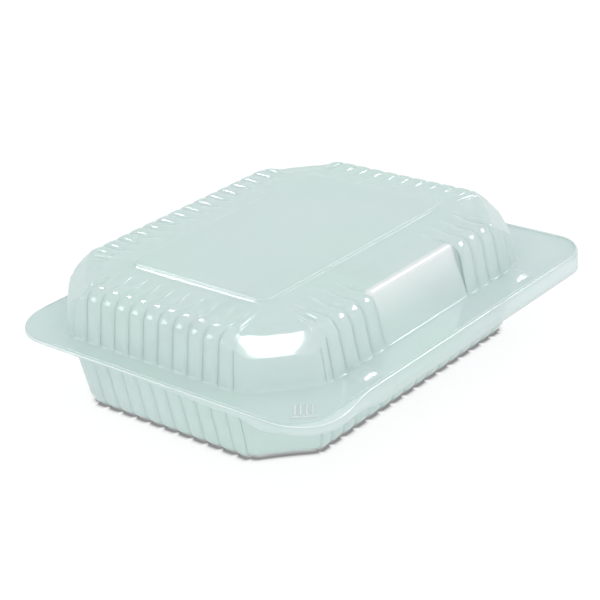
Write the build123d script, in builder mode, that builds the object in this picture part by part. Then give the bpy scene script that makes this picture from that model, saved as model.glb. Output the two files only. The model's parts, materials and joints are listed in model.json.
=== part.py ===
"""A closed clamshell food pack: a fluted tray and a fluted dome lid, thermoformed from one clear sheet.

Millimetres, +Z up.  The origin is the centre of the tray's floor, on the surface that it stands on.
+X runs along the long side, -Y is the opening side, and +Y is the hinge side.
"""

import os
from math import cos, radians, sin, tan

from build123d import *

os.makedirs("parts", exist_ok=True)

# Sheet
sheet = 0.5  # wall of the formed sheet

# Heights
seam_height = 39.5  # where the lid's flange lies on the tray's flange
ring_rise = 25.5  # from the seam to the flat ring round the lid's top
plateau_rise = 3.0  # from that ring to the raised centre of the lid

# Tray, measured where its wall meets its flange
tray_length = 207.0
tray_width = 163.0
tray_corner = 26.0  # leg of the 45 degree corner
tray_draft = 10.0  # degrees
tray_edge_radius = 5.0  # round between wall and floor

# Lid dome, measured where its wall meets its flange
dome_end_margin = 0.5  # how far the dome's foot stands outside the tray's, at each end
dome_side_margin = 2.0  # the same at the front and the back
dome_draft = 10.5  # degrees
dome_edge_radius = 7.0  # round between wall and top
dome_length = tray_length + 2 * dome_end_margin
dome_width = tray_width + 2 * dome_side_margin
dome_corner = tray_corner - 2 * dome_end_margin

# Raised centre of the lid
plateau_end_setback = 32.5  # from the dome's foot, at each end
plateau_side_setback = 37.5  # the same at the front and the back
plateau_corner_radius = 8.0
plateau_draft = 35.0  # degrees
plateau_length = dome_length - 2 * plateau_end_setback
plateau_width = dome_width - 2 * plateau_side_setback

# Round between two neighbouring walls
upright_radius = 9.0

# Flutes
flute_pitch = 9.5
flute_rise = 1.5  # how far a flute bulges from its creases
flute_root = 1.0  # how deep a row of flutes is sunk into the wall behind it
panel_width = 66.5  # smooth panel in the middle of the lid's front
ring_flute_length = 19.0  # how far a flute runs inwards over the lid's ring
floor_flute_length = 6.0  # how far a flute runs inwards under the tray's floor
flute_dive = 3.0  # how far the end of a flute sinks out of sight
short_side_flutes = int((tray_width - 2 * tray_corner) / flute_pitch)
long_side_flutes = int((tray_length - 2 * tray_corner) / flute_pitch)
front_group_flutes = int((dome_length - 2 * dome_corner - panel_width) / 2 / flute_pitch)

# Flanges, measured from the tray's wall
end_flange = 14.0
front_flange = 22.5
back_flange = 9.5  # out to the hinge line
flange_half_length = tray_length / 2 + end_flange
flange_front = tray_width / 2 + front_flange
hinge_distance = tray_width / 2 + back_flange
front_corner_radius = 20.0
back_corner_radius = 28.0
flange_gap = 0.5  # between the tray's lip and the lid's skirt

# Turned-down edges
side_skirt = 3.0
front_skirt = 10.0
deep_skirt_length = 12.0  # how far the deep front skirt runs back from the front edge
skirt_slope_length = 26.0  # over which it then gets as shallow as the side skirt
tray_lip = 2.0
skirt_slope_start = deep_skirt_length - flange_front
skirt_slope_end = skirt_slope_start + skirt_slope_length
skirt_back_end = hinge_distance - back_corner_radius - side_skirt  # short of the back corners

# Opening tab at the front left corner
tab_radius = 24.0
tab_reach = 4.5  # past the front edge

# Snap buttons near the front corners
button_length = 15.0
button_width = 12.0
button_rise = 2.0
button_inset = 55.5  # from the end of the flange to the button's middle
button_margin = 2.5  # from the dome's foot to the button
button_draft = 20.0  # degrees
button_corner_radius = 4.0
button_gap = 0.3  # between the tray's button and the lid's
button_x = flange_half_length - button_inset
button_y = -(dome_width / 2 + button_margin + button_width / 2)


def chamfered_block(length, width, corner, depth, draft, edge_radius):
    """A solid with 45 degree corners that narrows upwards from z = 0 and has a rounded top edge."""
    with BuildPart() as block:
        with BuildSketch(Plane.XY):
            Rectangle(length, width)
            chamfer(vertices(), corner)
        extrude(amount=depth, taper=draft)
        uprights = [edge for edge in block.edges() if edge.bounding_box().size.Z > depth / 2]
        fillet(uprights, upright_radius)
        fillet(block.faces().sort_by(Axis.Z)[-1].edges(), edge_radius)
    return block.part


def flute_row(centre, count, distance, depth, draft, edge_radius, run, turn):
    """A row of flutes up one wall and over its edge; turn is the wall's bearing about +Z."""
    lean = radians(draft)
    top = distance - depth * tan(lean)
    start = Vector(0, distance + sheet * tan(lean), -sheet)
    with BuildPart() as row:
        with BuildLine(Plane.YZ) as path:
            FilletPolyline(
                (start.Y, start.Z),
                (top, depth),
                (top - run, depth),
                (top - run - 2 * flute_dive, depth - flute_dive),
                radius=edge_radius,
            )
        wall = Plane(origin=start, x_dir=(1, 0, 0), z_dir=(0, -sin(lean), cos(lean)))
        first = centre - count * flute_pitch / 2
        with BuildSketch(wall):
            with BuildLine():
                for index in range(count):
                    near = first + index * flute_pitch
                    SagittaArc((near, 0), (near + flute_pitch, 0), flute_rise)
                last = first + count * flute_pitch
                Polyline((last, 0), (last, -flute_root), (first, -flute_root), (first, 0))
            make_face()
        sweep(path=path.line)
    return row.part.rotate(Axis.Z, turn)


def fluted_form(length, width, corner, depth, draft, edge_radius, run, front_groups):
    """A chamfered block with flutes on all four walls, cut off flat at z = 0."""
    block = chamfered_block(length, width, corner, depth, draft, edge_radius)
    rows = [
        flute_row(0, short_side_flutes, length / 2, depth, draft, edge_radius, run, 90),
        flute_row(0, short_side_flutes, length / 2, depth, draft, edge_radius, run, -90),
        flute_row(0, long_side_flutes, width / 2, depth, draft, edge_radius, run, 0),
    ]
    for centre, count in front_groups:
        rows.append(flute_row(centre, count, width / 2, depth, draft, edge_radius, run, 180))
    with BuildPart() as form:
        add(block)
        add(rows)
        split(bisect_by=Plane.XY, keep=Keep.TOP)
    return form.part


def flange_outline(inset):
    """Sketch of the flange's outline; the hinge edge stays put and the other edges move in."""
    half = flange_half_length - inset
    front = flange_front - inset
    with BuildSketch(Plane.XY) as outline:
        with Locations((0, (hinge_distance - front) / 2)):
            Rectangle(2 * half, hinge_distance + front)
        fillet(outline.vertices().group_by(Axis.Y)[0], front_corner_radius - inset)
        fillet(outline.vertices().group_by(Axis.Y)[-1], back_corner_radius - inset)
    return outline.sketch


def rim(inset, skirt_depth):
    """A flat flange on z = 0 to sheet, with an edge turned down by skirt_depth at the front."""
    outer = flange_outline(inset)
    inner = flange_outline(inset + sheet)
    side_depth = min(side_skirt, skirt_depth)
    beyond = flange_half_length + sheet
    with BuildPart() as edge:
        with BuildSketch(Plane.XY):
            add(outer)
            add(inner, mode=Mode.SUBTRACT)
        extrude(amount=-skirt_depth)
        with BuildSketch(Plane.YZ):
            with BuildLine():
                Polyline(
                    (skirt_slope_start, -skirt_depth),
                    (skirt_slope_end, -side_depth),
                    (skirt_back_end - side_depth, -side_depth),
                    (skirt_back_end, 0),
                    (hinge_distance + sheet, 0),
                    (hinge_distance + sheet, -skirt_depth - sheet),
                    (skirt_slope_start, -skirt_depth - sheet),
                    close=True,
                )
            make_face()
        extrude(amount=beyond, both=True, mode=Mode.SUBTRACT)
        with BuildSketch(Plane.XY):
            add(outer)
        extrude(amount=sheet)
    return edge.part


def snap_buttons(shrink, base, top):
    """Two tapered buttons near the front corners, from z = base to z = top, smaller by shrink."""
    length = button_length - 2 * shrink
    width = button_width - 2 * shrink
    with BuildPart() as buttons:
        with BuildSketch(Plane.XY.offset(base)):
            with Locations((-button_x, button_y), (button_x, button_y)):
                RectangleRounded(length, width, button_corner_radius - shrink)
        extrude(amount=top - base, taper=button_draft)
    return buttons.part


def dome_form(inset):
    """The lid's dome as a solid that stands on z = 0, inset on all sides by a wall."""
    length = dome_length - 2 * inset
    width = dome_width - 2 * inset
    corner = dome_corner
    depth = ring_rise - inset
    radius = dome_edge_radius - inset
    foot = width / 2
    top = foot - depth * tan(radians(dome_draft))
    offset = panel_width / 2 + front_group_flutes * flute_pitch / 2
    groups = [(-offset, front_group_flutes), (offset, front_group_flutes)]
    fluted = fluted_form(length, width, corner, depth, dome_draft, radius, ring_flute_length, groups)
    with BuildPart() as dome:
        add(fluted)
        with BuildSketch(Plane.YZ):
            with BuildLine():
                Polyline((-foot, 0), (-top, depth), (2 * radius - top, depth), (2 * radius - foot, 0), close=True)
            make_face()
        extrude(amount=panel_width / 2 - inset, both=True)
        with BuildSketch(Plane.XY.offset(depth)):
            RectangleRounded(
                plateau_length - 2 * inset,
                plateau_width - 2 * inset,
                plateau_corner_radius - inset,
            )
        extrude(amount=plateau_rise, taper=plateau_draft)
    return dome.part


def tray_form(inset):
    """The tray as an upside-down solid that stands on z = 0, inset on all sides by a wall."""
    length = tray_length - 2 * inset
    width = tray_width - 2 * inset
    depth = seam_height - inset
    radius = tray_edge_radius - inset
    groups = [(0, long_side_flutes)]
    fluted = fluted_form(length, width, tray_corner, depth, tray_draft, radius, floor_flute_length, groups)
    with BuildPart() as tray:
        add(fluted)
        split(bisect_by=Plane.XY.offset(depth), keep=Keep.BOTTOM)
    return tray.part


seam = Location((0, 0, seam_height))

tray_outside = mirror(tray_form(0), about=Plane.XY).moved(seam)
tray_inside = mirror(tray_form(sheet), about=Plane.XY).moved(seam)
tray_rim = rim(sheet + flange_gap, tray_lip).moved(Location((0, 0, seam_height - sheet)))
tray_shrink = sheet + button_gap
tray_buttons = snap_buttons(tray_shrink, 0, button_rise - tray_shrink).moved(seam)
tray_hollow_top = button_rise - tray_shrink - sheet
tray_button_hollows = snap_buttons(tray_shrink + sheet, -sheet, tray_hollow_top).moved(seam)

with BuildPart() as base_tray:
    add(tray_outside)
    add(tray_rim)
    add(tray_buttons)
    add(tray_inside, mode=Mode.SUBTRACT)
    add(tray_button_hollows, mode=Mode.SUBTRACT)
base_tray.part.label = "base_tray"
export_step(base_tray.part, "parts/base_tray.step")

dome_outside = dome_form(0).moved(seam)
dome_inside = dome_form(sheet).moved(seam)
lid_rim = rim(0, front_skirt).moved(seam)
lid_buttons = snap_buttons(0, 0, button_rise + sheet).moved(seam)
lid_button_hollows = snap_buttons(sheet, 0, button_rise).moved(seam)

with BuildPart() as lid:
    add(dome_outside)
    add(lid_rim)
    with BuildSketch(Plane.XY.offset(seam_height)):
        with Locations((tab_radius - flange_half_length, tab_radius - flange_front - tab_reach)):
            Circle(tab_radius)
    extrude(amount=sheet)
    add(lid_buttons)
    add(dome_inside, mode=Mode.SUBTRACT)
    add(lid_button_hollows, mode=Mode.SUBTRACT)
lid.part.label = "lid"
export_step(lid.part, "parts/lid.step")
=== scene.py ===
"""Looks of the clear clamshell food pack: its formed sheet, fold and finish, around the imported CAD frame.

Metres, +Z up, in the frame's own axes.  Each shell is one sheet laid out as rings of points: a ring for each
step of the section, from the skirt's edge to the middle, and a station for each step round the outline.
"""

import json
from math import cos, pi, radians, sin, tan

import bpy
from mathutils import Matrix, Vector


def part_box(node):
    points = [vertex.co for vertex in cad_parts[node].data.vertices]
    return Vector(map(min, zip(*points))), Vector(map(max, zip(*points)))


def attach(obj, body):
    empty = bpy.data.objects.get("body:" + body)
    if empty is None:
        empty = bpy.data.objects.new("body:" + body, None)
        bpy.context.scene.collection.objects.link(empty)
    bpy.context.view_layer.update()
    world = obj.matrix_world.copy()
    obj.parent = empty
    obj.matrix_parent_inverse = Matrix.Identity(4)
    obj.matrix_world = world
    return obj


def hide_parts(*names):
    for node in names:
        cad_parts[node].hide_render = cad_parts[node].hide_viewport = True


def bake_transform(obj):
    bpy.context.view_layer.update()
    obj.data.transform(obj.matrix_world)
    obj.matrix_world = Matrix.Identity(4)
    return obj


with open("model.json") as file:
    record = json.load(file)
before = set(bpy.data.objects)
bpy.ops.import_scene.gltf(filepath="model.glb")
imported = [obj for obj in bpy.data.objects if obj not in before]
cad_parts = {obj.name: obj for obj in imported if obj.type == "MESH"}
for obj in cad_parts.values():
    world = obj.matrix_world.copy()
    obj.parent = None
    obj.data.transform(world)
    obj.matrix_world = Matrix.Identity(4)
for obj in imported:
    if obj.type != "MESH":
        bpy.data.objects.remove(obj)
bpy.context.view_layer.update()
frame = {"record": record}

MM = 0.001

# Heights and edges, from the frame
lid_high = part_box("lid")[1]
hinge = frame["record"]["behaviour"]["joints"][0]["pos_m"]
SEAM = hinge[2]
HINGE_Y = hinge[1]
FLANGE_X = lid_high[0]

# Sheet
SHEET = 0.42 * MM
FLANGE_SHEET = 0.5 * MM  # height of each flange in the frame

# Flutes
PITCH = 9.5 * MM
RISE = 1.45 * MM
FLUTE_STEPS = 10
CROWN = 4.0  # how flat the top of a flute is: 2 is a plain arch
PANEL_HALF = 33.25 * MM  # half of the smooth panel at the front
PANEL_LEVEL = 0.75  # how far the smooth panel stands out, as a share of a flute
PANEL_STATIONS = 26
CORNER_STATIONS = 40

# Flange outline
FRONT = 104 * MM
BACK = HINGE_Y - 0.6 * MM  # leaves room for the fold
FRONT_RADIUS = 20 * MM
BACK_RADIUS = 28 * MM
FOLD_RADIUS = 0.9 * MM
TAB_REACH = 4.4 * MM

# Snap buttons
BUTTON_X = 62 * MM
BUTTON_Y = 92 * MM

# The wall's foot on the flange: how far out and how high
FOOT_ROUND = ((0.9 * MM, 0.0), (0.35 * MM, 0.12 * MM), (0.05 * MM, 0.5 * MM))

# Skirt depths along the flange's edge
FRONT_SKIRT = 9.9 * MM
TAB_SKIRT = 4.2 * MM
SIDE_SKIRT = 2.9 * MM
BACK_SKIRT = 0.95 * MM

# The flat cut across the lid's corners: x + y at one height over the flange, its lean, and how soft its edge is
FACET_REACH = 146.4 * MM
FACET_HEIGHT = 22 * MM
FACET_STEEP = 1.63
FACET_BLEND = 0.35 * MM

# Where the straight side of each inner outline ends and its corner begins
KNEE_X = 62 * MM
SHOULDER_KNEE_Y = 42.75 * MM
PLATEAU_KNEE_Y = 36 * MM
FLOOR_KNEE_Y = 40 * MM

# Inner outlines: half length, half width and corner radius
LID_RING = (75.5 * MM, 54 * MM, 9 * MM)
LID_PLATEAU = (70.4 * MM, 45 * MM, 7 * MM)
TRAY_FLOOR = (78 * MM, 56 * MM, 10 * MM)

RING_CROWN = 2.1 / 1.45  # height of the ring's inner end, in flutes

# Tones along the mesh, mostly painted light and shade: above 0 darker, below 0 paler and more hazy
# Creases paler where they run over the ring: a painted highlight
CREASE_PAINTED_HIGHLIGHT = -0.8
# The smooth front panel paler and hazier towards its top: painted light
PANEL_PAINTED_LIGHT = -0.9
# A pale line along the plateau's step: a painted highlight
STEP_PAINTED_HIGHLIGHT = -0.5
RIB_TONE = -0.6
# The folded edge: ring 3 darker, a painted shade line, and ring 5 paler, a painted highlight
FOLD_PAINTED_SHADE_AND_HIGHLIGHT = ((3, 0.35), (5, -0.7))  # ring of the folded edge, tone

# Rings from an inner outline inwards: inset and height in millimetres, and tone
PLATEAU_STEPS = (
    (-1.2, 2.2, 0.0),
    (0.3, 2.35, 0.0),
    (0.6, 2.5, 0.0),
    (0.85, 3.45, 0.0),
    (1.0, 3.64, STEP_PAINTED_HIGHLIGHT),
    (1.3, 3.7, 0.0),
    (4.5, 3.7, 0.0),
)
FLOOR_STEPS = ((0.0, 0.0, 0.0), (6.0, 0.0, 0.0))

# Rings of the contact shade, from under the tray outwards: reach in millimetres, and how dark
SHADE_STEPS = (
    (-6.0, 0.3),
    (-3.5, 0.6),
    (-2.0, 0.75),
    (-1.2, 0.66),
    (-0.5, 0.34),
    (0.4, 0.12),
    (1.6, 0.03),
    (3.0, 0.0),
)

# The four quarters, anticlockwise: signs of x and y, and whether the quarter's stations run backwards
QUARTERS = ((1, 1, True), (-1, 1, False), (-1, -1, True), (1, -1, False))

FLOOR_HALF = 9.0


def smooth(low, high, value):
    """0 up to low, 1 from high on, and a smooth step between them; high may be the lower number."""
    t = min(max((value - low) / (high - low), 0.0), 1.0)
    return t * t * (3 - 2 * t)


def mix(a, b, t):
    return a + (b - a) * t


def fillet_path(points, radii, steps=16):
    """A clockwise path through points whose inner corners are rounded."""
    path = [points[0]]
    for before, at, after, radius in zip(points, points[1:], points[2:], radii):
        into, out = (at - before).normalized(), (after - at).normalized()
        turn = into.angle(out)
        inward = Vector((into.y, -into.x))
        start = at - into * radius * tan(turn / 2)
        centre = start + inward * radius
        for step in range(steps + 1):
            path.append(centre + Matrix.Rotation(-turn * step / steps, 2) @ (-inward * radius))
    path.append(points[-1])
    return path


def bezier_path(a, b, c, d, steps=32):
    """A cubic curve from a to d, as points."""
    path = []
    for step in range(steps + 1):
        t = step / steps
        path.append(a * (1 - t) ** 3 + b * 3 * t * (1 - t) ** 2 + c * 3 * t * t * (1 - t) + d * t ** 3)
    return path


def along(path, share):
    """The point at a share of a path's length, from 0 to 1."""
    lengths = [(b - a).length for a, b in zip(path, path[1:])]
    left = share * sum(lengths)
    for a, b, length in zip(path, path[1:], lengths):
        if left <= length:
            return mix(a, b, left / length) if length else a
        left -= length
    return path[-1]


class Station:
    """One line up a shell, in the quarter where x and y are positive: its foot, wall and place on a flute."""

    def __init__(self, foot, wall, bulge=0.0, crease=0.0, panel=False):
        self.foot, self.wall = foot, wall
        self.bulge, self.crease, self.panel = bulge, crease, panel
        self.run = 0.0  # way along the feet from the quarter's first station


class Form:
    """Sizes of one shell, measured where its wall meets its flange."""

    def __init__(self, half_x, half_y, corner, depth, drafts, radius, corner_round, plateau):
        self.half_x, self.half_y, self.corner = half_x, half_y, corner
        self.depth, self.drafts, self.radius = depth, drafts, radius
        self.corner_round = corner_round
        self.plateau = plateau


LID = Form(
    half_x=104 * MM,
    half_y=83.5 * MM,
    corner=25 * MM,
    depth=24.3 * MM,
    drafts=(10.5, 10.5),
    radius=7 * MM,
    corner_round=16.5 * MM,
    plateau=LID_PLATEAU,
)
TRAY = Form(
    half_x=103.5 * MM,
    half_y=81.5 * MM,
    corner=26 * MM,
    depth=SEAM - FLANGE_SHEET - RISE,
    drafts=(11.5, 10),
    radius=5 * MM,
    corner_round=5 * MM,
    plateau=None,
)


def flute_phases():
    """Places across one flute, closer together near its creases."""
    return [0.5 - 0.5 * cos(pi * step / FLUTE_STEPS) for step in range(FLUTE_STEPS)]


def flute_marks(start, count, pitch=PITCH, height=1.0):
    """Places along a row of flutes with the bulge and the crease at each."""
    marks = []
    for index in range(count):
        for phase in flute_phases():
            bulge = height * (1 - abs(2 * phase - 1) ** CROWN)
            marks.append((start + (index + phase) * pitch, bulge, float(phase == 0)))
    marks.append((start + count * pitch, 0.0, 1.0))
    return marks


def quarter(form, with_panel):
    """Stations of one quarter, from the long wall's middle round the corner to the short wall's middle."""
    stations = []
    if with_panel:
        for step in range(PANEL_STATIONS):
            x = (PANEL_HALF - 0.12 * MM) * step / (PANEL_STATIONS - 1)
            level = PANEL_LEVEL if step < PANEL_STATIONS - 1 else 0.0
            stations.append(Station(Vector((x, form.half_y)), "long", level, panel=True))
        narrow = 0.5 * PITCH
        groups = flute_marks(PANEL_HALF, 4) + flute_marks(PANEL_HALF + 4 * PITCH, 1, narrow, 0.5)[1:]
    else:
        groups = flute_marks(0.0, 8)
    for x, bulge, crease in groups:
        stations.append(Station(Vector((x, form.half_y)), "long", bulge, crease))
    end_x = groups[-1][0] + 0.3 * MM
    short = [mark for mark in flute_marks(-0.5 * PITCH, 6) if mark[0] > -0.01 * MM]
    end_y = short[-1][0] + 0.3 * MM
    first = Vector((form.half_x - form.corner, form.half_y))
    second = Vector((form.half_x, form.half_y - form.corner))
    radii = [0.98 * (first.x - end_x) / tan(pi / 8), 0.98 * (second.y - end_y) / tan(pi / 8)]
    path = fillet_path([Vector((end_x, form.half_y)), first, second, Vector((form.half_x, end_y))], radii)
    for step in range(CORNER_STATIONS + 1):
        stations.append(Station(along(path, step / CORNER_STATIONS), "corner"))
    for y, bulge, crease in reversed(short):
        stations.append(Station(Vector((form.half_x, max(y, 0.0))), "short", bulge, crease))
    travelled, last = 0.0, stations[0].foot
    for station in stations:
        travelled += (station.foot - last).length
        station.run, last = travelled, station.foot
    return stations


def carried(station, total, straight, path, xa, yb):
    """Where a station lies on another outline: straight across from its wall, or along the corner's path."""
    if station.wall == "long" and station.foot.x <= xa:
        return Vector((station.foot.x, straight[1]))
    if station.wall == "short" and station.foot.y <= yb:
        return Vector((straight[0], station.foot.y))
    return along(path, (station.run - xa) / (total - yb - xa))


def corner_path(half_x, half_y, radius, xa, yb):
    """The corner of a rounded rectangle, from x = xa on its long side to y = yb on its short side."""
    return fillet_path([Vector((xa, half_y)), Vector((half_x, half_y)), Vector((half_x, yb))], [radius])


def section(form, station, shoulder):
    """Rings up the wall and over the shoulder: (plan point, height, outward push, upward push)."""
    reach = shoulder - station.foot
    total = reach.length
    inward = reach / total
    draft = radians(form.drafts[0] if station.wall == "long" else form.drafts[1])
    low = form.depth - form.radius * (1 - sin(draft))
    if station.panel:
        low = form.depth - 1.2 * MM
        lean = total - 1.2 * MM
    else:
        round_share = smooth(11 * MM, 17 * MM, total) * (form.corner_round > form.radius)
        low -= 2.4 * MM * round_share
        lean = low * tan(draft) * (1 + 0.3 * round_share)
    arc_in, arc_up = total - lean, form.depth - low
    rings = []
    count = 8
    for step in range(count):
        share = (step + 0.001) / count
        height = mix(1.0 * MM, low, share)
        rings.append((station.foot + inward * lean * height / low, height, cos(draft), sin(draft)))
    count = 10
    for step in range(count + 1):
        angle = mix(draft, pi / 2, step / count)
        inside = (cos(draft) - cos(angle)) / cos(draft)
        raised = (sin(angle) - sin(draft)) / (1 - sin(draft))
        push_out = arc_up * cos(angle) / (1 - sin(draft))
        push_up = arc_in * sin(angle) / cos(draft)
        size = (push_out ** 2 + push_up ** 2) ** 0.5
        place = station.foot + inward * (lean + arc_in * inside)
        rings.append((place, low + arc_up * raised, push_out / size, push_up / size))
    return inward, rings


def inner_rings(form, station, total):
    """All rings of a station from its foot to the middle: (plan point, height, tone), the tone being painted
    shade above 0 and painted highlight below 0.
    """
    draft_y, draft_x = radians(form.drafts[0]), radians(form.drafts[1])
    shoulder_y = form.half_y - shoulder_run(form, draft_y)
    shoulder_x = form.half_x - shoulder_run(form, draft_x)
    xa, yb = KNEE_X, SHOULDER_KNEE_Y
    a, d = Vector((xa, shoulder_y)), Vector((shoulder_x, yb))
    if form is LID:
        path = bezier_path(a, a + Vector((14, 0)) * MM, d + Vector((0, 12)) * MM, d)
        ring = LID_RING
    else:
        floor_sum = form.half_x + form.half_y - form.corner - 14.5 * MM  # x + y along the corner's plain face
        b, c = Vector((floor_sum - shoulder_y, shoulder_y)), Vector((shoulder_x, floor_sum - shoulder_x))
        path = fillet_path([a, b, c, d], [6 * MM, 6 * MM])
        ring = (shoulder_x - 6 * MM, shoulder_y - 6 * MM, 16 * MM)
    shoulder = carried(station, total, (shoulder_x, shoulder_y), path, xa, yb)
    if station.panel:
        shoulder = Vector((station.foot.x, form.half_y - 9.2 * MM))
    inward, rings = section(form, station, shoulder)
    points = []
    for step, (place, height, push_out, push_up) in enumerate(rings):
        push = RISE * station.bulge
        # Creases darker up the wall, a painted shade, turning paler near the shoulder's top, a painted
        # highlight
        tone = mix(station.crease, CREASE_PAINTED_HIGHLIGHT * station.crease, smooth(0.72, 0.95, step / (len(rings) - 1)))
        # The smooth panel paler towards the top of its section: painted light
        if station.panel:
            tone = PANEL_PAINTED_LIGHT * smooth(0.1, 0.6, step / (len(rings) - 1))
        # The tray's creases darker all the way: painted shade
        if form is TRAY:
            tone = station.crease
        points.append((place - inward * push * push_out, height + push * push_up, tone))
    end = carried(station, total, ring, corner_path(*ring, xa, yb), xa, yb)
    count = 8
    for step in range(1, count + 1):
        share = step / count
        fade = 1 - smooth(0.7, 1.0, share)
        # Across the ring the crease tone fades out; on the lid it is a paler line, a painted highlight
        bulge, tone = station.bulge * fade, station.crease * fade
        if form is LID:
            bulge = mix(station.bulge, RING_CROWN, smooth(0.3, 1.0, share))
            tone *= CREASE_PAINTED_HIGHLIGHT
        points.append((mix(shoulder, end, share), form.depth + RISE * bulge, tone))
    if form is LID:
        points = [(place, under_facets(place, height), crease) for place, height, crease in points]
    return inward, points + middle_rings(form, station, total, end)


def under_facets(place, height):
    """Height after the flat cut across each corner of the lid."""
    cut = FACET_HEIGHT - (place.x + place.y - FACET_REACH) / FACET_STEEP
    share = min(max(0.5 + (cut - height) / (2 * FACET_BLEND), 0.0), 1.0)
    return mix(cut, height, share) - FACET_BLEND * share * (1 - share)


def shoulder_run(form, draft):
    """How far the wall and the shoulder lead inwards."""
    low = form.depth - form.radius * (1 - sin(draft))
    return low * tan(draft) + form.radius * cos(draft)


def middle_rings(form, station, total, end):
    """Rings over the raised middle of the lid, or over the tray's plain floor."""
    if form.plateau:
        half_x, half_y, radius = form.plateau
        steps, xa, yb = PLATEAU_STEPS, KNEE_X, PLATEAU_KNEE_Y
    else:
        half_x, half_y, radius = TRAY_FLOOR
        steps, xa, yb = FLOOR_STEPS, KNEE_X, FLOOR_KNEE_Y
    points = []
    for inset, raised, tone in steps:
        inset *= MM
        size = (half_x - inset, half_y - inset, radius - inset if radius > inset else 0.5 * MM)
        place = carried(station, total, size, corner_path(*size, xa, yb), xa, yb)
        points.append((place, form.depth + raised * MM, tone))
    return points


def skirt_depth(x, y):
    """How deep the lid's edge is turned down at a place on the flange's outline."""
    depth = mix(FRONT_SKIRT, SIDE_SKIRT, smooth(-92 * MM, -66 * MM, y))
    tab = (1 - smooth(-92 * MM, -60 * MM, x)) * (1 - smooth(-92 * MM, -66 * MM, y))
    depth = mix(depth, TAB_SKIRT, tab)
    return mix(depth, BACK_SKIRT, smooth(-55 * MM, 5 * MM, y))


def with_tab(place):
    """Moves a point of the lid's flange outline out to the opening tab at the front left corner."""
    forward = smooth(-80 * MM, -FRONT, place.y) if place.y < -80 * MM else 0.0
    return place - Vector((0, TAB_REACH * forward * (1 - smooth(-96 * MM, -68 * MM, place.x))))


def button_height(x, y, grown):
    """Height of the snap buttons at a place on the flange, from 0 to 1; grown is how much larger they are."""
    if y > 0:
        return 0.0
    along_x = abs(abs(x) - BUTTON_X) - grown
    along_y = abs(y + BUTTON_Y) - grown
    return (1 - smooth(5.2 * MM, 7.4 * MM, along_x)) * (1 - smooth(4.0 * MM, 5.9 * MM, along_y))


def flange_rings(place, edge, depth, button, count):
    """Rings from the turned-down edge up over the fold and in across the flange to the wall's foot."""
    inward = (place - edge).normalized()
    rings = []
    for share in (1.0, 0.5, 0.12):
        rings.append((edge, -mix(FOLD_RADIUS, depth, share)))
    for step in range(4):
        angle = pi / 2 * step / 3
        rings.append((edge + inward * FOLD_RADIUS * (1 - cos(angle)), -FOLD_RADIUS * (1 - sin(angle))))
    start = edge + inward * FOLD_RADIUS
    for step in range(1, count):
        here = mix(start, place, step / count)
        rings.append((here, button(here.x, here.y)))
    return rings


def shell(name, form, up, base, edge_inset, depth_at, button, flange_count):
    """A formed sheet: up is +1 for the lid and -1 for the tray; base is the height of its flange."""
    rows = []
    for sign_x, sign_y, turned in QUARTERS:
        front = sign_y < 0
        mirror = Matrix(((sign_x, 0), (0, sign_y)))
        stations = quarter(form, front and form is LID)
        total = stations[-1].run
        end_x = max(s.foot.x for s in stations if s.wall == "long")
        end_y = max(s.foot.y for s in stations if s.wall == "short")
        size = (FLANGE_X - edge_inset, (FRONT if front else BACK) - (edge_inset if front else 0))
        radius = (FRONT_RADIUS if front else BACK_RADIUS) - edge_inset
        path = corner_path(*size, radius, end_x, end_y)
        quarter_rows = []
        for station in stations:
            inward, inner = inner_rings(form, station, total)
            edge = mirror @ carried(station, total, size, path, end_x, end_y)
            if form is LID:
                edge = with_tab(edge)
            push = RISE * station.bulge
            foot = [(station.foot - inward * (push + out), height) for out, height in FOOT_ROUND]
            depth = depth_at(edge.x, edge.y)
            outer = flange_rings(mirror @ foot[0][0], edge, depth, button, flange_count)
            row = [(place.x, place.y, height, 0.0) for place, height in outer]
            # Painted shade and painted highlight lines on the folded edge
            if form is LID:
                for index, tone in FOLD_PAINTED_SHADE_AND_HIGHLIGHT:
                    row[index] = row[index][:3] + (tone,)
            # Where each crease meets the flange, half-strength painted shade
            for place, height in foot:
                place = mirror @ place
                row.append((place.x, place.y, height, station.crease * 0.5))
            for place, height, crease in inner:
                place = mirror @ place
                row.append((place.x, place.y, height, crease))
            quarter_rows.append([(x, y, base + up * z, crease) for x, y, z, crease in row])
        rows += list(reversed(quarter_rows))[:-1] if turned else quarter_rows[:-1]
    return sheet_object(name, rows, up)


def mesh_object(name, points, faces, values=None, attribute="painted_light_and_rib_tone", rounded=False):
    """A linked mesh object, with one number a point under the attribute's name where values are given."""
    mesh = bpy.data.meshes.new(name)
    mesh.from_pydata(points, [], faces)
    mesh.validate()
    if values:
        mesh.attributes.new(attribute, "FLOAT", "POINT").data.foreach_set("value", values)
    mesh.polygons.foreach_set("use_smooth", [rounded] * len(mesh.polygons))
    piece = bpy.data.objects.new(name, mesh)
    bpy.context.scene.collection.objects.link(piece)
    return piece


def sheet_object(name, rows, up):
    """A mesh of closed rings from rows of points, with its middle closed and the sheet's thickness given."""
    across, count = len(rows), len(rows[0])
    # Each point's tone: painted shade above 0, painted highlight or painted light below 0
    points, painted_tones = [], []
    for row in rows:
        for x, y, z, crease in row:
            points.append((x, y, max(z, 0.0)))
            painted_tones.append(crease)
    faces = []
    for i in range(across):
        j = (i + 1) % across
        for k in range(count - 1):
            quad = (i * count + k, j * count + k, j * count + k + 1, i * count + k + 1)
            faces.append(quad if up > 0 else tuple(reversed(quad)))
    cap = [i * count + count - 1 for i in range(across)]
    faces.append(tuple(cap if up > 0 else reversed(cap)))
    piece = mesh_object(name, points, faces, painted_tones, rounded=True)
    solid = piece.modifiers.new("sheet", "SOLIDIFY")
    solid.thickness = SHEET
    solid.offset = -1
    return piece


def lid_button(x, y):
    return 1.95 * MM * button_height(x, y, 0.0)


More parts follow.
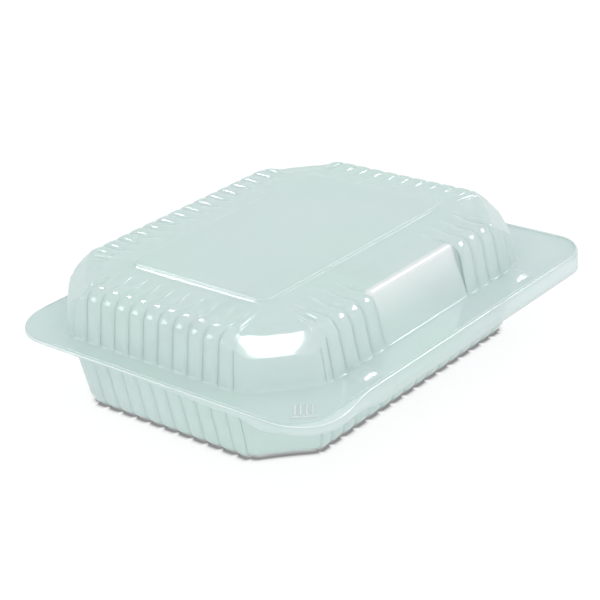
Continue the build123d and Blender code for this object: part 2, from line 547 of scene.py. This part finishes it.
def tray_button(x, y):
    return -1.2 * MM * button_height(x, y, -0.8 * MM)


def tray_lip(x, y):
    return mix(1.9 * MM, BACK_SKIRT, smooth(52 * MM, 60 * MM, y))


def grip_ribs():
    """Small moulded ribs on the opening tab, with a bar across their outer ends."""
    outward = Vector((-0.77, -0.64))
    across = Vector((0.64, -0.77))
    start = Vector((-95.5, -86.2)) * MM
    bars = []  # middle, direction and length
    for shift in (-3.9, -1.3, 1.3, 3.9):
        bars.append((start + outward * 6.2 * MM + across * shift * MM, outward, 9.5 * MM))
    bars.append((start + outward * 13.2 * MM, across, 11.5 * MM))
    ends = ((-0.5, 0.0), (-0.44, 1.0), (0.44, 1.0), (0.5, 0.0))  # share of the length, and how full the bar is
    points, faces = [], []
    for centre, way, length in bars:
        side = Vector((-way.y, way.x))
        first = len(points)
        for share, grown in ends:
            for step in range(7):
                turn = pi * step / 6
                place = centre + way * length * share + side * 0.55 * MM * cos(turn) * mix(0.6, 1.0, grown)
                height = SEAM + FLANGE_SHEET - 0.05 * MM + 0.55 * MM * sin(turn) * grown
                points.append((place.x, place.y, height))
        for k in range(len(ends) - 1):
            for step in range(6):
                a = first + k * 7 + step
                faces.append((a, a + 7, a + 8, a + 1))
        faces.append(tuple(first + step for step in range(7)))
        faces.append(tuple(first + 21 + step for step in reversed(range(7))))
        for k in range(len(ends) - 1):
            a = first + k * 7
            faces.append((a, a + 6, a + 13, a + 7))
    return mesh_object("grip_ribs", points, faces, [RIB_TONE] * len(points), rounded=True)


def hinge_fold():
    """The strip of sheet that folds along the back edge, between the two flanges."""
    half = FLANGE_X - BACK_RADIUS - 0.5 * MM
    middle, radius = BACK - 0.1 * MM, 0.5 * MM
    outline = []
    count = 10
    for thickness in (0.0, 0.2 * MM):
        turns = [mix(-pi / 2, pi / 2, step / count) for step in range(count + 1)]
        if thickness:
            turns.reverse()
        for turn in turns:
            size = radius - thickness
            outline.append((middle + size * cos(turn) * 1.2, SEAM + size * sin(turn)))
    points, faces = [], []
    across = 60
    for step in range(across + 1):
        x = mix(-half, half, step / across)
        points += [(x, y, z) for y, z in outline]
    ring = len(outline)
    for step in range(across):
        for k in range(ring):
            a, b = step * ring + k, step * ring + (k + 1) % ring
            faces.append((a, b, b + ring, a + ring))
    faces.append(tuple(reversed(range(ring))))
    faces.append(tuple(across * ring + k for k in range(ring)))
    return mesh_object("hinge_fold", points, faces, rounded=True)


# Materials

def nodes_of(name):
    material = bpy.data.materials.new(name)
    material.use_nodes = True
    material.node_tree.nodes.clear()
    return material, material.node_tree.nodes, material.node_tree.links


def clear_sheet():
    """Pale green clear sheet: milky, more so at a slant, glossy, and darker or paler by each point's tone:
    painted shade and painted highlights, and the ribs' paler tone.
    """
    material, nodes, links = nodes_of("clear_sheet")
    output = nodes.new("ShaderNodeOutputMaterial")
    place = nodes.new("ShaderNodeTexCoord")
    clouds = nodes.new("ShaderNodeTexNoise")
    clouds.inputs["Scale"].default_value = 14
    clouds.inputs["Detail"].default_value = 3
    links.new(place.outputs["Object"], clouds.inputs["Vector"])
    tint = nodes.new("ShaderNodeValToRGB")
    tint.color_ramp.elements[0].position = 0.35
    tint.color_ramp.elements[0].color = (0.80, 0.905, 0.875, 1)
    tint.color_ramp.elements[1].position = 0.68
    tint.color_ramp.elements[1].color = (0.815, 0.89, 0.895, 1)
    links.new(clouds.outputs["Fac"], tint.inputs["Fac"])
    # Tone per point: painted shade above 0, painted highlights and painted light below 0, and the ribs' paler
    # tone
    crease = nodes.new("ShaderNodeAttribute")
    crease.attribute_name = "painted_light_and_rib_tone"
    # Positive tones mix towards dark green: painted shade
    painted_shade = nodes.new("ShaderNodeMix")
    painted_shade.data_type = "RGBA"
    painted_shade.inputs["B"].default_value = (0.42, 0.55, 0.52, 1)
    links.new(crease.outputs["Fac"], painted_shade.inputs["Factor"])
    links.new(tint.outputs["Color"], painted_shade.inputs["A"])
    # Negative tones mix towards white: painted highlights and painted light, and the ribs' paler tone
    negative = nodes.new("ShaderNodeMath")
    negative.operation = "MULTIPLY"
    negative.inputs[1].default_value = -1
    negative.use_clamp = True
    links.new(crease.outputs["Fac"], negative.inputs[0])
    pale = nodes.new("ShaderNodeMix")
    pale.data_type = "RGBA"
    pale.inputs["B"].default_value = (1.0, 1.0, 1.0, 1)
    links.new(negative.outputs["Value"], pale.inputs["Factor"])
    links.new(painted_shade.outputs["Result"], pale.inputs["A"])
    either = nodes.new("ShaderNodeMath")
    either.operation = "ABSOLUTE"
    links.new(crease.outputs["Fac"], either.inputs[0])
    # See-through share: high straight on, low at a slant
    facing = nodes.new("ShaderNodeLayerWeight")
    facing.inputs["Blend"].default_value = 0.5
    slant = nodes.new("ShaderNodeMapRange")
    slant.inputs["From Min"].default_value = 0.55
    slant.inputs["From Max"].default_value = 1.0
    slant.inputs["To Min"].default_value = 0.58
    slant.inputs["To Max"].default_value = 0.90
    links.new(facing.outputs["Facing"], slant.inputs["Value"])
    # The sheet more opaque wherever a tone is painted
    more_opaque_with_tone = nodes.new("ShaderNodeMath")
    more_opaque_with_tone.operation = "MULTIPLY_ADD"
    more_opaque_with_tone.inputs[1].default_value = 0.35
    more_opaque_with_tone.use_clamp = True
    links.new(either.outputs["Value"], more_opaque_with_tone.inputs[0])
    links.new(slant.outputs["Result"], more_opaque_with_tone.inputs[2])
    clear = nodes.new("ShaderNodeBsdfTransparent")
    clear.inputs["Color"].default_value = (0.95, 0.975, 0.97, 1)
    milk_front = nodes.new("ShaderNodeBsdfDiffuse")
    milk_back = nodes.new("ShaderNodeBsdfTranslucent")
    links.new(pale.outputs["Result"], milk_front.inputs["Color"])
    links.new(pale.outputs["Result"], milk_back.inputs["Color"])
    milk = nodes.new("ShaderNodeMixShader")
    milk.inputs["Fac"].default_value = 0.36
    links.new(milk_front.outputs["BSDF"], milk.inputs[1])
    links.new(milk_back.outputs["BSDF"], milk.inputs[2])
    body = nodes.new("ShaderNodeMixShader")
    links.new(more_opaque_with_tone.outputs["Value"], body.inputs["Fac"])
    links.new(clear.outputs["BSDF"], body.inputs[1])
    links.new(milk.outputs["Shader"], body.inputs[2])
    # Gloss by Schlick's rule, broken up by the sheet's slight unevenness
    power = nodes.new("ShaderNodeMath")
    power.operation = "POWER"
    power.inputs[1].default_value = 5
    links.new(facing.outputs["Facing"], power.inputs[0])
    fresnel = nodes.new("ShaderNodeMath")
    fresnel.operation = "MULTIPLY_ADD"
    fresnel.inputs[1].default_value = 0.35
    fresnel.inputs[2].default_value = 0.05
    links.new(power.outputs["Value"], fresnel.inputs[0])
    waves = nodes.new("ShaderNodeTexNoise")
    waves.inputs["Scale"].default_value = 60
    waves.inputs["Detail"].default_value = 2
    links.new(place.outputs["Object"], waves.inputs["Vector"])
    bump = nodes.new("ShaderNodeBump")
    bump.inputs["Strength"].default_value = 0.015
    bump.inputs["Distance"].default_value = 0.002
    links.new(waves.outputs["Fac"], bump.inputs["Height"])
    polish = nodes.new("ShaderNodeMapRange")
    polish.inputs["To Min"].default_value = 0.02
    polish.inputs["To Max"].default_value = 0.06
    links.new(clouds.outputs["Fac"], polish.inputs["Value"])
    gloss = nodes.new("ShaderNodeBsdfGlossy")
    links.new(polish.outputs["Result"], gloss.inputs["Roughness"])
    links.new(bump.outputs["Normal"], gloss.inputs["Normal"])
    sheet = nodes.new("ShaderNodeMixShader")
    links.new(fresnel.outputs["Value"], sheet.inputs["Fac"])
    links.new(body.outputs["Shader"], sheet.inputs[1])
    links.new(gloss.outputs["BSDF"], sheet.inputs[2])
    links.new(sheet.outputs["Shader"], output.inputs["Surface"])
    return material


def floor_finish():
    """White studio floor."""
    material, nodes, links = nodes_of("studio_white")
    output = nodes.new("ShaderNodeOutputMaterial")
    paper = nodes.new("ShaderNodeBsdfDiffuse")
    grain = nodes.new("ShaderNodeTexNoise")
    grain.inputs["Scale"].default_value = 3
    ramp = nodes.new("ShaderNodeValToRGB")
    ramp.color_ramp.elements[0].color = (0.25, 0.25, 0.25, 1)
    ramp.color_ramp.elements[1].color = (0.27, 0.27, 0.27, 1)
    links.new(grain.outputs["Fac"], ramp.inputs["Fac"])
    links.new(ramp.outputs["Color"], paper.inputs["Color"])
    lift = nodes.new("ShaderNodeEmission")
    lift.inputs["Strength"].default_value = 0.80
    both = nodes.new("ShaderNodeAddShader")
    links.new(paper.outputs["BSDF"], both.inputs[0])
    links.new(lift.outputs["Emission"], both.inputs[1])
    links.new(both.outputs["Shader"], output.inputs["Surface"])
    return material


# Stage parts

def contact_shade():
    """A soft dark line on the floor round the tray's foot, as strong as the attribute on its points."""
    material, nodes, links = nodes_of("contact_shade")
    output = nodes.new("ShaderNodeOutputMaterial")
    strength = nodes.new("ShaderNodeAttribute")
    strength.attribute_name = "shade"
    clear = nodes.new("ShaderNodeBsdfTransparent")
    painted_shade = nodes.new("ShaderNodeBsdfDiffuse")
    painted_shade.inputs["Color"].default_value = (0.05, 0.055, 0.055, 1)
    both = nodes.new("ShaderNodeMixShader")
    links.new(strength.outputs["Fac"], both.inputs["Fac"])
    links.new(clear.outputs["BSDF"], both.inputs[1])
    links.new(painted_shade.outputs["BSDF"], both.inputs[2])
    links.new(both.outputs["Shader"], output.inputs["Surface"])
    rows = []
    for sign_x, sign_y, turned in QUARTERS:
        mirror = Matrix(((sign_x, 0), (0, sign_y)))
        stations = quarter(TRAY, False)
        total = stations[-1].run
        feet = []
        for station in stations:
            inward, inner = inner_rings(TRAY, station, total)
            low = [place for place, height, crease in inner if height < TRAY.depth - 1.5 * MM][-1]
            feet.append((mirror @ low, mirror @ -inward))
        rows += list(reversed(feet))[:-1] if turned else feet[:-1]
    points, shades, faces = [], [], []
    for foot, out in rows:
        for reach, shade in SHADE_STEPS:
            place = foot + out * reach * MM
            points.append((place.x, place.y, -0.0001))
            shades.append(shade)
    ring = len(SHADE_STEPS)
    for i in range(len(rows)):
        j = (i + 1) % len(rows)
        for k in range(ring - 1):
            faces.append((i * ring + k, i * ring + k + 1, j * ring + k + 1, j * ring + k))
    piece = mesh_object("contact_shade", points, faces, shades, "shade")
    piece.data.materials.append(material)
    return piece


def half_moon_lamp():
    """A half-round lamp high over the front left corner, which the corner's flat face mirrors."""
    material, nodes, links = nodes_of("lamp_face")
    output = nodes.new("ShaderNodeOutputMaterial")
    glow = nodes.new("ShaderNodeEmission")
    glow.inputs["Strength"].default_value = 20
    links.new(glow.outputs["Emission"], output.inputs["Surface"])
    middle = Vector((-337.5, -369.5, 1300)) * MM
    side = Vector((27.5, -28.5, -1)) * MM
    down = Vector((-25.5, -19.5, -16)) * MM
    count = 24
    turns = [pi * step / count for step in range(count + 1)]
    points = [middle + side * cos(turn) + down * sin(turn) for turn in turns]
    lamp = mesh_object("half_moon_lamp", points, [tuple(range(count + 1))])
    lamp.data.materials.append(material)
    lamp.visible_diffuse = False
    return lamp


def softbox(name, towards, distance, width, height, power):
    """A flat light that stands towards a direction from the pack's middle and faces it."""
    data = bpy.data.lights.new(name, "AREA")
    data.shape = "RECTANGLE"
    data.size, data.size_y = width, height
    data.energy = power
    lamp = bpy.data.objects.new(name, data)
    way = Vector(towards).normalized()
    lamp.location = way * distance + Vector((0, 0, 0.05))
    lamp.rotation_euler = way.to_track_quat("Z", "Y").to_euler()
    lamp.visible_diffuse = False
    bpy.context.scene.collection.objects.link(lamp)


# Pieces

sheet_finish = clear_sheet()

lid_sheet = shell("lid_sheet", LID, 1, SEAM + FLANGE_SHEET, 0.0, skirt_depth, lid_button, flange_count=14)
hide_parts("lid")
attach(lid_sheet, "lid")

tray_sheet = shell("tray_sheet", TRAY, -1, SEAM - FLANGE_SHEET, 1.1 * MM, tray_lip, tray_button, flange_count=8)
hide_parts("base_tray")
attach(tray_sheet, "tray")

fold = hinge_fold()
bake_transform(fold)

ribs = grip_ribs()
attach(ribs, "lid")

for piece in (lid_sheet, tray_sheet, fold, ribs):
    piece.data.materials.append(sheet_finish)

# Stage

floor_corners = [(x * FLOOR_HALF, y * FLOOR_HALF, 0) for x, y in ((-1, -1), (1, -1), (1, 1), (-1, 1))]
floor = mesh_object("floor", floor_corners, [(0, 1, 2, 3)])
floor.data.materials.append(floor_finish())
floor.location.z = -0.0002
contact_shade()
half_moon_lamp()
softbox("behind", (0.33, 0.66, 0.68), 1.6, 0.26, 0.34, 6)
softbox("left_row", (-0.67, 0.64, 0.36), 1.5, 0.42, 0.50, 3.4)
softbox("front_row", (0.69, -0.25, 0.66), 1.5, 0.50, 0.30, 7)

world = bpy.data.worlds.new("studio")
bpy.context.scene.world = world
world.use_nodes = True
world_nodes, world_links = world.node_tree.nodes, world.node_tree.links
sky = world_nodes["Background"]
direction = world_nodes.new("ShaderNodeTexCoord")
split = world_nodes.new("ShaderNodeSeparateXYZ")
shade = world_nodes.new("ShaderNodeValToRGB")
shade.color_ramp.elements[0].position = 0.0
shade.color_ramp.elements[0].color = (0.78, 0.80, 0.80, 1)
shade.color_ramp.elements[1].position = 0.75
shade.color_ramp.elements[1].color = (1.0, 1.0, 1.0, 1)
world_links.new(direction.outputs["Generated"], split.inputs["Vector"])
lean = world_nodes.new("ShaderNodeMath")
lean.operation = "MULTIPLY_ADD"
lean.inputs[1].default_value = -0.6
world_links.new(split.outputs["Y"], lean.inputs[0])
world_links.new(split.outputs["Z"], lean.inputs[2])
world_links.new(lean.outputs["Value"], shade.inputs["Fac"])
world_links.new(shade.outputs["Color"], sky.inputs["Color"])
sky.inputs["Strength"].default_value = 1.12

# Camera, at the height and slant of the reference view
AZIMUTH, ELEVATION, ROLL = radians(48.1), radians(24.9), radians(-4.62)
camera_data = bpy.data.cameras.new("camera")
camera_data.sensor_width = 36
camera_data.lens = 98.56
camera = bpy.data.objects.new("camera", camera_data)
back = Vector((-sin(AZIMUTH) * cos(ELEVATION), -cos(AZIMUTH) * cos(ELEVATION), sin(ELEVATION)))
right = (-back).cross(Vector((0, 0, 1))).normalized()
over = right.cross(-back)
x_axis = right * cos(ROLL) + over * sin(ROLL)
y_axis = over * cos(ROLL) - right * sin(ROLL)
turn = Matrix((x_axis, y_axis, back)).transposed().to_4x4()
camera.matrix_world = Matrix.Translation(Vector((-564.9, -510.0, 382.9)) * MM) @ turn
bpy.context.scene.collection.objects.link(camera)
bpy.context.scene.camera = camera

scene = bpy.context.scene
scene.view_settings.view_transform = "Standard"
scene.cycles.transparent_max_bounces = 40
scene.cycles.max_bounces = 12
